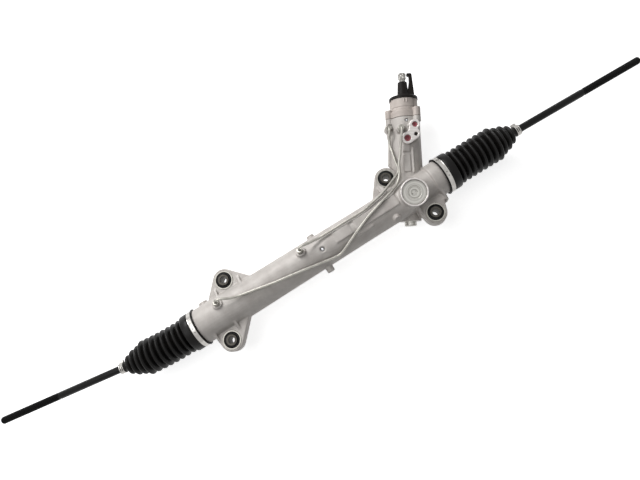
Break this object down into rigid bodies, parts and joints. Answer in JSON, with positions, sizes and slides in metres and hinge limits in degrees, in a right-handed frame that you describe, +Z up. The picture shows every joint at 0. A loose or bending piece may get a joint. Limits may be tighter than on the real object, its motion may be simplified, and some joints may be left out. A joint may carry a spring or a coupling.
{
  "type": "hydraulic rack-and-pinion steering gear",
  "caption": "Hydraulic rack-and-pinion steering gear with die-cast housing, rotary valve, rigid pipes, bellows boots and inner tie rods that swing and turn.",
  "frame": {"origin": "midway between the two rear mounting bolts, on the seat face of their bush sleeves", "axes": "+X along the rack towards the pinion end, +Y to the rear, where the valve tower points, +Z up along the mounting bolts"},
  "size_m": [1.3881, 0.2893, 0.1023],
  "materials": {
    "cast_aluminium": "as cast, satin grey",
    "valve_cap_aluminium": "cast, slightly warm grey",
    "machined_aluminium": "machined, turned rings",
    "bright_steel": "bright, ground",
    "pipe_steel": "zinc coated",
    "clamp_steel": "bright stainless band",
    "black_steel": "black coated",
    "bearing_steel": "ground",
    "black_rubber": "matte",
    "boot_rubber": "matte, moulded",
    "black_plastic": "matte",
    "red_plastic": "dark red",
    "liner_plastic": "low-friction liner",
    "seat_plastic": "low-friction, off white",
    "ring_plastic": "low-friction filled plastic"
  },
  "bodies": {
    "housing": {"gear_housing": "cast_aluminium", "cylinder_tube": "bright_steel", "valve_housing": "valve_cap_aluminium", "valve_housing_bolts": "pipe_steel", "pressure_port_plug": "red_plastic", "return_port_plug": "red_plastic", "pipe_short": "pipe_steel", "pipe_long": "pipe_steel", "pipe_nuts": "pipe_steel", "yoke_plug": "machined_aluminium", "yoke_spring": "bearing_steel", "yoke": "machined_aluminium", "yoke_liner": "liner_plastic", "lower_bearing_outer": "bearing_steel", "lower_bearing_balls": "bearing_steel", "bottom_cap": "machined_aluminium", "pinion_seal": "black_rubber", "input_bearing": "bearing_steel", "input_seal": "black_rubber", "dust_cover": "black_plastic", "inner_rack_seal": "black_rubber", "end_bush": "machined_aluminium", "end_rack_seal": "black_rubber", "end_retaining_ring": "bearing_steel", "ball_plug": "bearing_steel", "bush_shells": "bright_steel", "bush_rubbers": "black_rubber", "bush_sleeves": "bright_steel", "boot_left": "boot_rubber", "boot_right": "boot_rubber", "large_clamps": "clamp_steel"},
    "rack": {"rack_bar": "bright_steel", "piston": "machined_aluminium", "piston_ring": "ring_plastic", "piston_clips": "bearing_steel", "lock_washers": "bearing_steel", "socket_left": "black_steel", "socket_right": "black_steel"},
    "pinion": {"pinion": "bearing_steel", "valve_sleeve": "bearing_steel", "sleeve_rings": "ring_plastic", "lower_bearing_inner": "bearing_steel", "pinion_nut": "bearing_steel", "torsion_bar": "bearing_steel"},
    "input": {"input_shaft": "bright_steel", "torsion_pin": "bearing_steel", "alignment_collar": "black_plastic"},
    "seat_left": {"ball_seat_left": "seat_plastic"},
    "ball_left": {"ball_left": "bearing_steel"},
    "rod_left": {"tie_rod_left": "black_steel", "small_clamp_left": "clamp_steel"},
    "seat_right": {"ball_seat_right": "seat_plastic"},
    "ball_right": {"ball_right": "bearing_steel"},
    "rod_right": {"tie_rod_right": "black_steel", "small_clamp_right": "clamp_steel"}
  },
  "joints": [
    {"name": "rack_slide", "type": "slide", "parent": "housing", "child": "rack", "axis": [1, 0, 0], "range_m": [-0.07, 0.07], "deforming": ["boot_left", "boot_right"]},
    {"name": "pinion_turn", "type": "hinge", "parent": "housing", "child": "pinion", "pos_m": [0.2035, -0.0478, -0.00317], "axis": [0.4848, 0.8613, 0.1519], "range_deg": [-505, 505]},
    {"name": "valve_twist", "type": "hinge", "parent": "pinion", "child": "input", "pos_m": [0.2035, -0.0478, -0.00317], "axis": [0.4848, 0.8613, 0.1519], "range_deg": [-4, 4], "stiffness_Nm_per_rad": 100, "deforming": ["torsion_bar"]},
    {"name": "left_rod_swing", "type": "hinge", "parent": "rack", "child": "seat_left", "pos_m": [-0.3445, -0.051, 0.015], "axis": [0, 0, 1], "range_deg": [-13.6, 30.4], "deforming": ["boot_left"]},
    {"name": "left_rod_tilt", "type": "hinge", "parent": "seat_left", "child": "ball_left", "pos_m": [-0.3445, -0.051, 0.015], "axis": [-0.1461, -0.9893, 0], "range_deg": [-22, 22], "deforming": ["boot_left"]},
    {"name": "left_rod_spin", "type": "hinge", "parent": "ball_left", "child": "rod_left", "pos_m": [-0.3445, -0.051, 0.015], "axis": [-0.9893, 0.1461, 0], "continuous": true},
    {"name": "right_rod_swing", "type": "hinge", "parent": "rack", "child": "seat_right", "pos_m": [0.3605, -0.051, 0.015], "axis": [0, 0, 1], "range_deg": [-20, 24], "deforming": ["boot_right"]},
    {"name": "right_rod_tilt", "type": "hinge", "parent": "seat_right", "child": "ball_right", "pos_m": [0.3605, -0.051, 0.015], "axis": [0.0349, 0.9994, 0], "range_deg": [-22, 22], "deforming": ["boot_right"]},
    {"name": "right_rod_spin", "type": "hinge", "parent": "ball_right", "child": "rod_right", "pos_m": [0.3605, -0.051, 0.015], "axis": [0.9994, -0.0349, 0], "continuous": true}
  ],
  "couplings": [
    {"joint": "pinion_turn", "follows": "rack_slide", "rad_per_m": 125}
  ]
}
